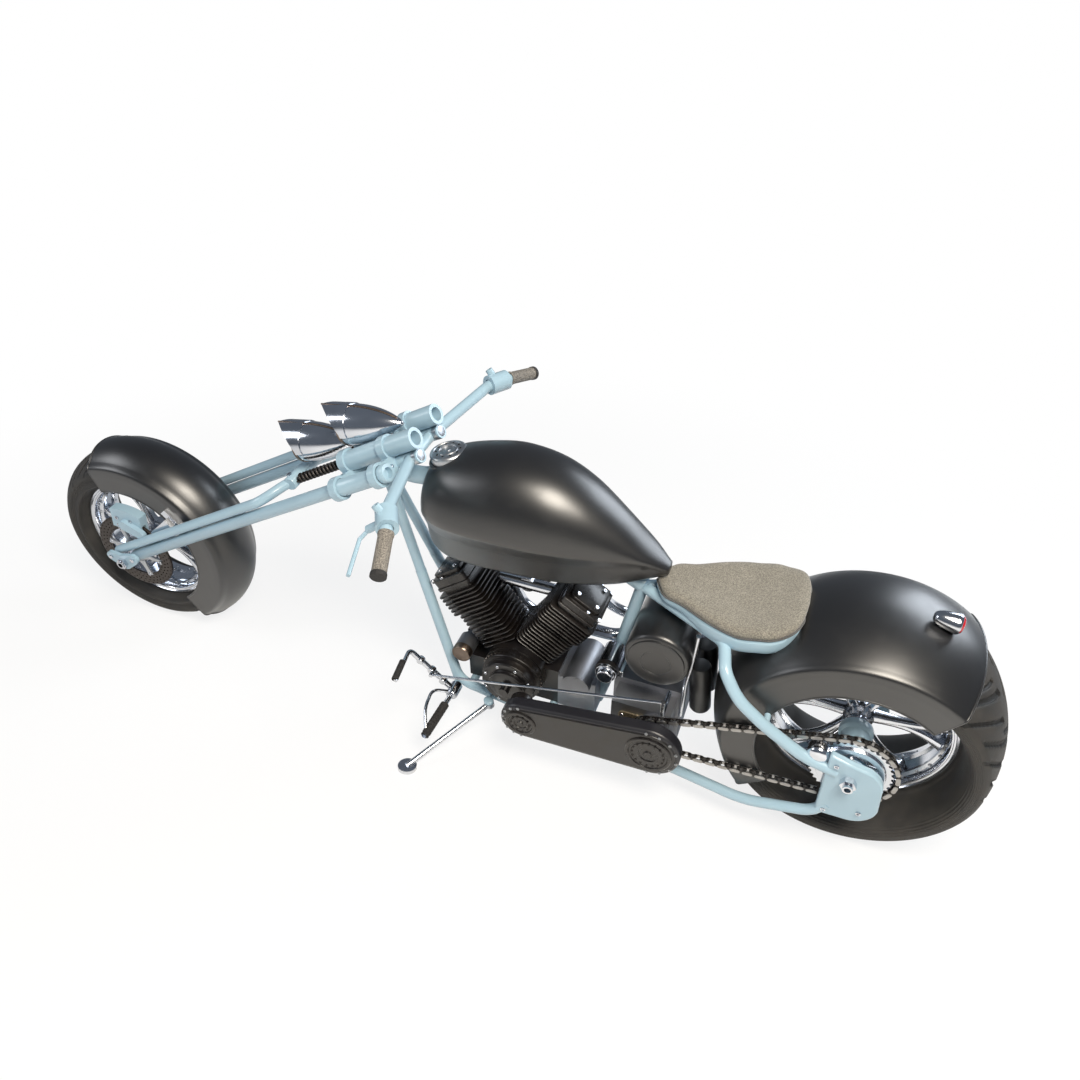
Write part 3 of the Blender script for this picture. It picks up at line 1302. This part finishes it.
    def oil(self) -> None:
        """Oil tank, filter, starter and the tubes behind them."""
        tank = Shape().turned([(0, -128), (78, -128), (84, -123), (86, -116), (86, 118), (84, 126),
                               (79, 131), (74, 132), (73, 136), (69, 138), (40, 138), (38, 136), (0, 136)],
                               (508, 0, 462), steps=96)
        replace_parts(tank.piece("oil_tank_shell", Body.FRAME, SATIN, smooth=40), "oil_tank")
        can = Shape().turned([(0, 20), (18, 20), (18, 34), (26, 35), (28, 38), (28, 84), (0, 84)],
                             (1070, 0, 250), steps=48)
        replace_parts(can.piece("oil_filter_can", Body.FRAME, ALLOY, smooth=40), "oil_filter")
        Shape().turned([(0, 83), (28.4, 83), (28.4, 100), (26, 104), (0, 104)], (1070, 0, 250),
                       steps=48).piece("oil_filter_cap", Body.FRAME, BRONZE)
        motor = Shape().turned([(0, 20), (30, 20), (30, 112), (28, 118), (22, 118), (22, 130), (20, 132),
                                (0, 132)], (640, 0, 352), steps=56)
        motor.prism([(600, 324), (650, 324), (650, 344), (600, 344)], 30, 90)
        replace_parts(motor.piece("starter_motor", Body.FRAME, CHROME, bevel=1), "starter")
        Shape().turned([(29, 96), (32, 96), (32, 110), (29, 110)], (640, 0, 352), steps=56).piece(
            "starter_collar", Body.FRAME, CRACKLE)
        Shape().tube(fillet([(432, 96, 250), (432, 96, 380), (424, 92, 440), (418, 84, 540)], 40), 7,
                     16).piece("breather_tube", Body.FRAME, CHROME)
        cans = Shape()
        for y in (-40, 40):
            cans.turned([(0, 0), (26, 0), (29, 6), (29, 150), (25, 158), (12, 160), (0, 160)], (392, y, 240),
                        (0.1, 0, 1), steps=40)
        cans.piece("vent_cans", Body.FRAME, SATIN, smooth=50)
        face = Shape().prism(round_box(58, 52, 12, 5), 158, 163)
        face.placed(Matrix.Translation((528, 0, 226)))
        face.piece("gearbox_cover", Body.FRAME, GILT, bevel=1.5)
        FASTEN.spread("gearbox_cover_screws", Body.FRAME, CHROME, screw(4, 3.5),
                      [((528 + x, 163, 226 + z), (0, 1, 0)) for x in (-48, 48) for z in (-42, 42)])

    def pipes(self) -> None:
        """Exhaust and air cleaner on the right side."""
        front = [(1120, -68.5, 462), (1120, -112, 462), (1072, -140, 440), (1020, -158, 330),
                 (985, -164, 240), (930, -164, 208), (690, -168, 204), (640, -212, 200), (580, -216, 200)]
        rear = [(752, -68.5, 462), (752, -108, 462), (756, -166, 380), (730, -196, 300), (690, -228, 250),
                (640, -242, 228), (580, -244, 226)]
        pipe = Shape().tube(fillet(front, 40), 19, 24).tube(fillet(rear, 34), 16, 24)
        pipe.turned([(30, 205), (34, 205), (40, 214), (42, 226), (42, 592), (38, 602), (22, 606), (0, 606),
                     (0, 230), (30, 226)], (0, -230, 212), (1, 0, 0), steps=64)
        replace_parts(pipe.piece("exhaust_pipes", Body.FRAME, CHROME, smooth=45), "exhaust")
        cup = Shape().turned([(0, -188), (44, -188), (52, -184), (55, -177), (60, -175), (66, -170),
                              (66, -134), (62, -128), (24, -128), (24, -42), (0, -42)], (923, 0, 440),
                              steps=80)
        cup.turned([(0, 840), (18, 840), (18, 1010), (0, 1010)], (0, -50, 440), (1, 0, 0), steps=32)
        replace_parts(cup.piece("air_cleaner_cup", Body.FRAME, CHROME, smooth=40), "air_cleaner")
        FASTEN.spread("air_cleaner_screws", Body.FRAME, STEEL, screw(5, 4),
                      on_circle(923, -188, 440, 30, 3, way=(0, -1, 0)))

    def build(self) -> None:
        """Makes the engine and everything bolted to it."""
        self.cylinder("front_cylinder", self.leans[0], 1)
        self.cylinder("rear_cylinder", self.leans[1], -1)
        self.cases()
        self.primary()
        self.oil()
        self.pipes()


# ---- final drive ----
@dataclass
class Drive:
    """Roller chain, gearbox sprocket, rear sprocket and hub parts."""

    y: float = 192.0
    pulley: tuple[float, float] = (488.0, 262.0)
    pulley_r: float = 52.0
    sprocket_r: float = 99.0
    teeth: int = 38

    def chain(self) -> None:
        """Outer and inner links round the two sprockets."""
        path = belt(self.pulley, self.pulley_r, REAR_HUB, self.sprocket_r + 9.6, 60)
        path.append(path[0])
        lengths = [math.dist(a, b) for a, b in zip(path, path[1:])]
        total = sum(lengths)
        count = int(total / 15.9) // 2 * 2
        pitch, spots, walked, goal = total / count, [], 0.0, 0.0
        for (a, b), span in zip(zip(path, path[1:]), lengths):
            while goal < walked + span and len(spots) < count:
                t = (goal - walked) / span
                spots.append(((a[0] + (b[0] - a[0]) * t, self.y, a[1] + (b[1] - a[1]) * t),
                              (b[0] - a[0], 0, b[1] - a[1])))
                goal += pitch
            walked += span
        made = []
        for name, inner, finish in (("chain_outer_links", 6.3, LINK), ("chain_inner_links", 4.0, IRON)):
            link = Shape()
            plate = [(x, z) for x, z in belt((-pitch / 2, 0), 5.4, (pitch / 2, 0), 5.399, 5)]
            for low in (-inner - 2, inner):
                link.prism(plate, low, low + 2)
            pin = [(0, -inner - 2.4), (3.4, -inner - 2.4), (3.4, inner + 2.4), (0, inner + 2.4)]
            for end in (-pitch / 2, pitch / 2):
                link.turned(pin, (end, 0, 0), steps=8)
            made.append(FOLLOW.spread(name, Body.FRAME, finish, link, spots[0 if inner > 5 else 1::2]))
        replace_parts(made[0], "chain")
        wheel = Shape().turned([(10.3, 168), (30, 168), (32, 186), (44, 187), (44, 197), (30, 199),
                                (28, 200), (10.3, 200)], (self.pulley[0], 0, self.pulley[1]), steps=64)
        self.cog(wheel, self.pulley, self.pulley_r - 3.5, 34, 20)
        wheel.piece("gearbox_sprocket", Body.FRAME, STEEL)

    def cog(self, shape: Shape, hub: tuple[float, float], r: float, bore: float, teeth: int) -> None:
        """A toothed ring with a scalloped inside."""
        outer, inner = [], []
        for k in range(teeth * 6):
            a = 2 * math.pi * k / (teeth * 6)
            tooth = max(0.0, math.cos(a * teeth)) ** 0.7
            outer.append(((r - 6 + 5.6 * tooth), a))
            inner.append((bore + (3.0 * math.cos(a * 10) if bore > 50 else 0.0), a))

        def ring(rows: list[tuple[float, float]], y: float) -> list[tuple[float, float, float]]:
            """Points of one edge at a width."""
            return [(hub[0] + q * math.cos(a), y, hub[1] + q * math.sin(a)) for q, a in rows]

        shape.loft([ring(outer, self.y - 3), ring(outer, self.y + 3), ring(inner, self.y + 3),
                    ring(inner, self.y - 3)], wrap=True)

    def sprocket(self) -> None:
        """Rear sprocket with curved arms on a painted carrier."""
        x, z = REAR_HUB
        plate = Shape()
        self.cog(plate, REAR_HUB, self.sprocket_r, 76, self.teeth)
        plate.turned([(34, 189), (48, 189), (48, 195), (34, 195)], (x, 0, z), steps=64)
        plate.turned([(66, 195), (80, 195), (82, 198), (80, 201), (66, 201), (64, 198)], (x, 0, z), steps=96)
        for i in range(5):
            rings = []
            for k in range(9):
                t = k / 8
                wide = 9 - 4 * math.sin(math.pi * t)
                rings.append(across(REAR_HUB, self.y, 42 + 38 * t, math.radians(72 * i + 24 * t),
                                    (wide, 3, 1.5, 2)))
            plate.loft(rings)
        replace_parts(plate.piece("rear_sprocket_plate", Body.REAR_WHEEL, CHROME, smooth=35), "rear_sprocket")
        Shape().turned([(13, 58), (40, 58), (42, 64), (42, 78), (35, 84), (34, 178), (38, 186), (38, 199),
                        (13, 199)], (x, 0, z), steps=64).piece("rear_sprocket_carrier", Body.REAR_WHEEL, BLUE)
        FASTEN.spread("rear_sprocket_bolts", Body.REAR_WHEEL, STEEL, hex_nut(6, 5),
                      on_circle(x, 195, z, 44, 5, 10))
        disc = Shape().holed_ring((x, -149, z), 36, [72, 84, 96, 108, 120], 6, 2.8)
        disc.turned([(13, -160), (34, -160), (34, -152), (73, -151.5), (73, -146.5), (34, -146), (32, -60),
                     (13, -60)], (x, 0, z), steps=72)
        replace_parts(disc.piece("rear_rotor", Body.REAR_WHEEL, ROTOR, smooth=30), "rear_disc")

    def build(self) -> None:
        """Makes the final drive."""
        self.chain()
        self.sprocket()


# ---- fork ----
@dataclass
class Fork:
    """Springer fork, lamps, bars and grips, in fork coordinates."""

    leg_y: float = 138.0
    leg_p: float = 18.0
    leg_r: float = 18.0
    push_r: float = 14.0
    spring_y: float = 58.0
    spring_p: float = 50.0
    perch: float = 272.0
    light_r: float = 54.0
    light_l: float = 165.0
    lights: tuple[tuple[float, float], ...] = ((34.0, 122.0), (204.0, 122.0))
    light_tilt: float = 16.5
    bar: tuple[tuple[float, float, float], ...] = ((-130, 60, 3), (-196, 300, -6), (-218, 350, -24),
                                                   (-231, 467, -73))

    def legs(self) -> None:
        """Rear legs in their sleeves, front legs and the spring perch."""
        hub = STANCE.to_fork(*FRONT_HUB)
        end = hub.x - 30
        rear = Shape()
        rear.turned([(14, -116), (22.5, -116), (24, -113), (24, -98), (22.6, -95), (22.6, 46), (24, 49),
                     (24, 63), (22.5, 66), (18.4, 68), (18, 72), (18, end - 3), (16, end), (0, end),
                     (0, -100), (14, -101)], (0, self.leg_y, self.leg_p), (1, 0, 0), steps=36)
        rear.both().placed(FORK)
        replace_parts(rear.piece("rear_fork_legs", Body.FORK, BLUE, smooth=45), "fork_legs")
        push_p = self.leg_p + self.leg_r + self.push_r + 3
        front = Shape().tube(fillet([(hub.x + 24, self.leg_y, push_p), (352, self.leg_y, push_p),
                                     (322, self.leg_y - 22, push_p),
                                     (296, self.spring_y + 22, self.spring_p + 2),
                                     (self.perch, self.spring_y, self.spring_p)], 30), self.push_r, 24)
        front.both()
        front.turned([(0, -78), (17, -78), (19, -75), (19, 75), (17, 78), (0, 78)],
                     (self.perch, 0, self.spring_p), steps=36)
        front.placed(FORK)
        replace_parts(front.piece("front_fork_legs", Body.FORK, BLUE, smooth=45), "push_legs")
        spots = [((FORK @ Vector((self.perch, y, self.spring_p + 18.6))), FORK.to_3x3() @ Vector((0, 0, 1)))
                 for y in (-58, 58)]
        spots += [(FORK @ Vector((s, hand * (self.leg_y + 30.3), p)), (0, hand, 0)) for hand in (1, -1)
                  for s, p in ((hub.x - 44, self.leg_p), (hub.x + 30, push_p))]
        FASTEN.spread("fork_pivot_nuts", Body.FORK, CHROME, hex_nut(8, 5), spots)

    def springs(self) -> None:
        """Coil springs between the perch and the spring sleeves."""
        coils = Shape()
        for hand in (1, -1):
            path = []
            for k in range(13 * 18 + 1):
                t = k / (13 * 18)
                a = 2 * math.pi * 13 * t
                path.append((72 + 177 * t, hand * self.spring_y + 10.2 * math.cos(a),
                             self.spring_p + 10.2 * math.sin(a)))
            coils.tube(path, 3.5, 10)
            coils.tube([(68.5, hand * self.spring_y, self.spring_p),
                        (252.5, hand * self.spring_y, self.spring_p)], 6.5, 16)
        made = coils.placed(FORK).piece("fork_coil_springs", Body.FORK, IRON, smooth=60)
        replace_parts(made, "fork_springs")

    def lamps(self) -> None:
        """Two bullet lamps with finned peaks."""
        shells, rims, lenses = Shape(), Shape(), Shape()
        for s, p in self.lights:
            a = math.radians(self.light_tilt)
            way = Vector((math.cos(a), 0, math.sin(a)))
            up = Vector((-math.sin(a), 0, math.cos(a)))
            at = Vector((s, 0, p))
            r, l = self.light_r, self.light_l
            body = [(0.0, -l)] + [(r * (1 - t * t) ** 0.82, -l * t)
                                  for t in (1 - k / 20 for k in range(1, 20))]
            body += [(r, 0), (r, 6), (r - 4, 8), (r - 8, 2), (r - 20, -22), (0, -34)]
            shells.turned(body, at, way, steps=72)
            rims.turned([(r - 7, 2), (r + 1.6, 0), (r + 2, 4), (r + 1, 9), (r - 5, 10), (r - 8, 6)], at, way,
                        steps=72)
            lenses.turned([(0, -4), (r - 8, -1), (r - 6.5, 4), (r * 0.6, 8.5), (0, 11)], at, way, steps=64)
            inner, outer = [], []
            for k in range(37):
                b = math.radians(-100 + 200 * k / 36)
                reach = 66 * max(0.0, 1 - abs(b) / 1.76) ** 1.5
                side = up * math.cos(b) + Vector((0, 1, 0)) * math.sin(b)
                back, front = -18, max(2.0, reach)
                flare = 1 + 0.1 * front / 66
                outer.append((at + side * (r + 2.2) + way * back,
                              at + side * (r + 2.2) * flare + way * front))
                inner.append((at + side * (r - 0.4) + way * back,
                              at + side * (r - 0.4) * flare + way * front))
            peak = [[o[0], o[0].lerp(o[1], 0.5), o[1], n[1], n[0].lerp(n[1], 0.5), n[0]] for o,
                    n in zip(outer, inner)]
            shells.loft(peak)
            ridge = [at + up * (r * (1 - t * t) ** 0.82 + 1) - way * (l * t)
                     for t in (0.9 - 0.1 * k for k in range(10))]
            rims.tube(ridge + [at + up * (r + 2) * 1.1 + way * 65], 2.4, 8)
        made = shells.placed(FORK).piece("lamp_shells", Body.FORK, CHROME, smooth=42)
        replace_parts(made, "headlights")
        rims.placed(FORK).piece("lamp_rims", Body.FORK, BRONZE)
        lenses.placed(FORK).piece("lamp_lenses", Body.FORK, CLEAR, smooth=60)

    def bars(self) -> None:
        """Drag bars, grips with end caps, and clamps."""
        half = [Vector(p) for p in self.bar]
        u = (half[3] - half[2]).normalized()
        tip = half[:3] + [half[3] - u * 6]
        path = [Vector((p.x, -p.y, p.z)) for p in reversed(tip)] + tip
        bar = Shape().tube(fillet(path, 30, 9), 15, 28).placed(FORK)
        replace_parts(bar.piece("bar_tube", Body.FORK, BLUE, smooth=50), "handlebar")
        start, stop = half[2] + u * 10, half[3]
        span = (stop - start).length
        grip = Shape().turned([(15.3, 0), (18.4, 0), (19, 2), (19, 7), (17.4, 9), (17.4, span - 12),
                               (15.3, span - 12)], start, u, steps=40).both().placed(FORK)
        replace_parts(grip.piece("grip_sleeves", Body.FORK, GRIP, smooth=45), "grips")
        Shape().turned([(0, span - 12), (18.6, span - 12), (19, span - 10), (19, span - 2), (17, span),
                        (0, span)], start, u,
                        steps=40).both().placed(FORK).piece("grip_ends", Body.FORK, CAP_RUBBER)
        tops = Shape().turned([(0, -164.5), (13, -164.5), (17, -163), (19.4, -158), (19.4, -146), (0, -146)],
                              (0, 58, 3), (1, 0, 0), steps=36).both().placed(FORK)
        tops.piece("riser_tips", Body.FORK, STEEL, smooth=50)
        turn = FORK.to_3x3()
        spots = []
        for s in (46 + 22, -72 - 22):
            way = turn @ Vector((1 if s > 0 else -1, 0, 0))
            for y, p in ((0, 14), (96, 14), (-96, 14), (40, 30), (-40, 30)):
                spots.append((FORK @ Vector((s, y, p)), way))
        FASTEN.spread("tree_screws", Body.FORK, CHROME, screw(6, 5), spots)

    def build(self) -> None:
        """Makes the fork and what it carries."""
        self.legs()
        self.springs()
        self.lamps()
        self.bars()


# ---- foot controls ----
@dataclass
class Controls:
    """Forward pegs, toe loops and levers."""

    peg: tuple[float, float, float] = (1076.0, 150.0, 146.0)
    lever_end: tuple[float, float, float] = (1196.0, 168.0, 286.0)

    def build(self) -> None:
        """Makes both sides and their ribbed rubbers."""
        metal = Shape().turned([(0, 105.4), (12, 105.4), (12, 150), (0, 150)], (1088, 0, 120), steps=28)
        metal.turned([(0, 128), (16, 128), (17, 131), (17, 168), (15, 172), (0, 172)], (1076, 0, 146),
                     steps=36)
        metal.tube([self.peg, (1084, 330, 144)], 7.5, 20)
        metal.tube(fillet([(1084, 318, 144), (1112, 262, 176), (1120, 196, 180), (1078, 162, 150)], 24), 4.8,
                   14)
        metal.tube(fillet([self.peg, self.lever_end, (1180, 284, 284)], 18), lambda t: 8.5 - 3 * t, 18)
        for z in (0.25, 0.5, 0.75):
            p = Vector(self.peg).lerp(Vector(self.lever_end), z)
            metal.turned([(0, -9), (9.5, -9), (10.5, -7), (10.5, 7), (9.5, 9), (0, 9)], p, (0, 1, 0),
                         steps=24)
        metal.both()
        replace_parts(metal.piece("foot_control_metal", Body.FRAME, CHROME, smooth=45), "foot_controls")
        rubber = Shape()
        profile = [(7, 0), (12.4, 0)]
        for k in range(9):
            profile += [(12.6, 6 + 12 * k), (12.6, 13 + 12 * k), (10.8, 14.5 + 12 * k), (10.8, 16.5 + 12 * k)]
        profile += [(12, 118), (7, 118)]
        rubber.turned(profile, (1078, 208, 145.6), (0.044, 0.999, -0.01), steps=28)
        rubber.turned([(5.2, 0), (9, 0), (9.4, 3), (9.4, 64), (9, 67), (5.2, 67)], (1193.4, 214, 285.4),
                      (-0.137, 0.99, -0.017), steps=24)
        rubber.both().piece("foot_control_rubbers", Body.FRAME, CAP_RUBBER)


@dataclass
class KeptNodes:
    """CAD nodes whose shape is already right and that only need their finish."""

    finishes: tuple[tuple[str, Finish], ...] = (("crankcase", CRACKLE), ("gearbox", ALLOY),
                                                ("rear_caliper", BLUE), ("shift_rod", CHROME),
                                                ("rear_axle", CHROME), ("steering_trees", BLUE),
                                                ("rockers", BLUE), ("hand_levers", BLUE),
                                                ("fender_brackets", CHROME), ("front_caliper", BLUE),
                                                ("front_axle", CHROME), ("side_stand", CHROME))

    def build(self) -> None:
        """Dresses the kept nodes."""
        for name, finish in self.finishes:
            node = frame["nodes"][name]
            for spot in node.material_slots:
                spot.material = finish.paint()
            log.info("%s keeps its CAD shape", name)


# ---- studio ----
@dataclass
class Studio:
    """White sweep, soft lamps and the camera."""

    eye: tuple[float, float, float] = (212.3, 1734.9, 2201.3)
    look: tuple[float, float, float] = (0.2715, -0.7177, -0.641)
    lens: float = 31.17
    # Name, place in metres, side in metres, power in watts and colour of each soft lamp.
    lamps: tuple[tuple, ...] = (("key", (-1.7, 1.9, 3.7), 1.7, 230.0, (1.0, 0.92, 0.8)),
                                ("front", (3.4, 1.6, 2.4), 1.6, 40.0, (0.95, 0.97, 1.0)),
                                ("rim", (-2.6, -3.0, 2.6), 2.2, 90.0, (0.85, 0.92, 1.0)))

    def camera(self) -> None:
        """The camera, placed with the machine's own lean."""
        data = bpy.data.cameras.new("camera")
        data.lens, data.sensor_width, data.clip_end = self.lens, 36.0, 100.0
        cam = bpy.data.objects.new("camera", data)
        bpy.context.scene.collection.objects.link(cam)
        turn = STANCE.turn() @ Vector(self.look).to_track_quat("-Z", "Y").to_matrix().to_4x4()
        cam.matrix_world = Matrix.Translation(PLACED @ Vector(self.eye)) @ turn
        bpy.context.scene.camera = cam

    def lamp(self, name: str, at: Point, size: float, power: float,
             colour: tuple[float, float, float]) -> None:
        """A square soft box aimed at the machine."""
        data = bpy.data.lights.new(name, "AREA")
        data.size, data.energy, data.color = size, power, colour
        made = bpy.data.objects.new(name, data)
        bpy.context.scene.collection.objects.link(made)
        made.location = at
        made.rotation_euler = (Vector((0, 0, 0.35)) - Vector(at)).to_track_quat("-Z", "Y").to_euler()

    def floor(self) -> None:
        """A wide white floor that keeps the soft shadow."""
        ring = [(60 * math.cos(a), 60 * math.sin(a), 0) for a in (2 * math.pi * k / 96 for k in range(96))]
        mesh = bpy.data.meshes.new("floor")
        mesh.from_pydata(ring, [], [tuple(range(96))])
        made = bpy.data.objects.new("floor", mesh)
        bpy.context.scene.collection.objects.link(made)
        g = Graph("white_floor")
        g.dress(Base_Color=(0.86, 0.86, 0.86), Roughness=0.9, Specular_IOR_Level=0.1)
        path = g.node("ShaderNodeLightPath", {}, {})
        seen = Sock(g, path.outputs["Is Camera Ray"])
        glow = g.node("ShaderNodeEmission", {}, {"Color": (1.0, 1.0, 1.0), "Strength": 1.0})
        x, y, _ = g.split(g.spot())
        far = g.step(g.maths("SQRT", x * x + y * y), 1.2, 3.0)
        mix = g.node("ShaderNodeMixShader", {},
                     {0: seen * (0.82 + far * 0.18), 1: g.shader.outputs[0], 2: glow.outputs[0]})
        out = next(n for n in g.tree.nodes if n.bl_idname == "ShaderNodeOutputMaterial")
        g.feed(out.inputs["Surface"], mix.outputs[0])
        mesh.materials.append(g.material)

    def world(self) -> None:
        """White where it is seen or mirrored, and a plain soft light elsewhere."""
        world = bpy.data.worlds.new("studio")
        world.use_nodes = True
        tree = world.node_tree
        tree.nodes.clear()
        path = tree.nodes.new("ShaderNodeLightPath")
        seen = tree.nodes.new("ShaderNodeMath")
        seen.operation = "MAXIMUM"
        tree.links.new(path.outputs["Is Camera Ray"], seen.inputs[0])
        tree.links.new(path.outputs["Is Transmission Ray"], seen.inputs[1])
        bright, soft = tree.nodes.new("ShaderNodeBackground"), tree.nodes.new("ShaderNodeBackground")
        bright.inputs[0].default_value = (1, 1, 1, 1)
        soft.inputs[0].default_value = (0.62, 0.7, 0.82, 1)
        soft.inputs[1].default_value = 0.2
        mix, end = tree.nodes.new("ShaderNodeMixShader"), tree.nodes.new("ShaderNodeOutputWorld")
        tree.links.new(seen.outputs[0], mix.inputs[0])
        tree.links.new(soft.outputs[0], mix.inputs[1])
        tree.links.new(bright.outputs[0], mix.inputs[2])
        tree.links.new(mix.outputs[0], end.inputs["Surface"])
        bpy.context.scene.world = world

    def build(self) -> None:
        """Sets up the studio."""
        bpy.context.scene.view_settings.view_transform = "Standard"
        self.camera()
        self.floor()
        self.world()
        for row in self.lamps:
            self.lamp(*row)


def main() -> None:
    """Builds the machine in order."""
    logging.basicConfig(level=logging.INFO, format="%(message)s")
    Studio().build()
    KeptNodes().build()
    REAR.build()
    FRONT.build()
    FrontBrake().build()
    Bodywork().build()
    Chassis().build()
    Engine().build()
    Drive().build()
    Fork().build()
    Controls().build()


if __name__ == "__main__":
    main()
